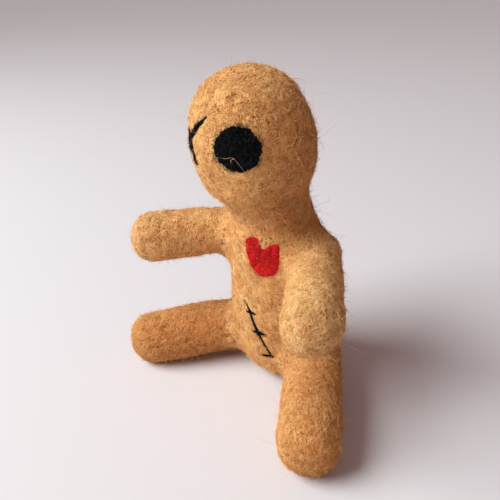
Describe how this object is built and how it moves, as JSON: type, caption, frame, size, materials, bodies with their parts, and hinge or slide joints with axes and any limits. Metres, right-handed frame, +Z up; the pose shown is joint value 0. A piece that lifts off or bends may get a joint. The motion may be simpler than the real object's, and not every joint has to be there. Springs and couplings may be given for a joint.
{
  "type": "needle-felted voodoo doll",
  "caption": "Small seated voodoo doll of needle-felted wool with held-out arms, one round eye, one cross eye, a heart on its chest and a stitched scar.",
  "frame": {"origin": "the middle of the flat that the doll sits on, under its torso", "axes": "+Z up from the seat to the top of the head; the doll faces -Y; +X is the doll's left"},
  "size_m": [0.0873, 0.054, 0.1004],
  "materials": {
    "tan_wool": "needle-felted undyed wool, matt, with loose fibres",
    "black_wool": "needle-felted black wool, matt",
    "red_wool": "needle-felted red wool, matt"
  },
  "bodies": {
    "torso": {"torso": "tan_wool", "heart": "red_wool", "scar_seam": "black_wool", "scar_stitch_top": "black_wool", "scar_stitch_middle": "black_wool", "scar_stitch_bottom": "black_wool"},
    "head": {"head": "tan_wool", "eye_round": "black_wool", "eye_cross_long": "black_wool", "eye_cross_short": "black_wool"},
    "arm_left": {"arm_left": "tan_wool"},
    "arm_right": {"arm_right": "tan_wool"},
    "leg_left": {"leg_left": "tan_wool"},
    "leg_right": {"leg_right": "tan_wool"}
  },
  "joints": [
    {"name": "neck_nod", "type": "hinge", "parent": "torso", "child": "head", "pos_m": [0, -0.00673, 0.062], "axis": [1, 0, 0], "range_deg": [-8, 8], "stiffness_Nm_per_rad": 0.1},
    {"name": "shoulder_left", "type": "hinge", "parent": "torso", "child": "arm_left", "pos_m": [0.01531, -0.00441, 0.0472], "axis": [-0.7771, -0.6293, 0], "range_deg": [-12, 12], "stiffness_Nm_per_rad": 0.06},
    {"name": "shoulder_right", "type": "hinge", "parent": "torso", "child": "arm_right", "pos_m": [-0.01531, -0.00441, 0.0472], "axis": [-0.7771, 0.6293, 0], "range_deg": [-12, 12], "stiffness_Nm_per_rad": 0.06},
    {"name": "hip_left", "type": "hinge", "parent": "torso", "child": "leg_left", "pos_m": [0.01619, -0.00537, 0.011], "axis": [-0.7738, -0.6334, 0], "range_deg": [0, 12], "stiffness_Nm_per_rad": 0.06},
    {"name": "hip_right", "type": "hinge", "parent": "torso", "child": "leg_right", "pos_m": [-0.01619, -0.00537, 0.011], "axis": [-0.829, 0.5592, 0], "range_deg": [0, 12], "stiffness_Nm_per_rad": 0.06}
  ]
}
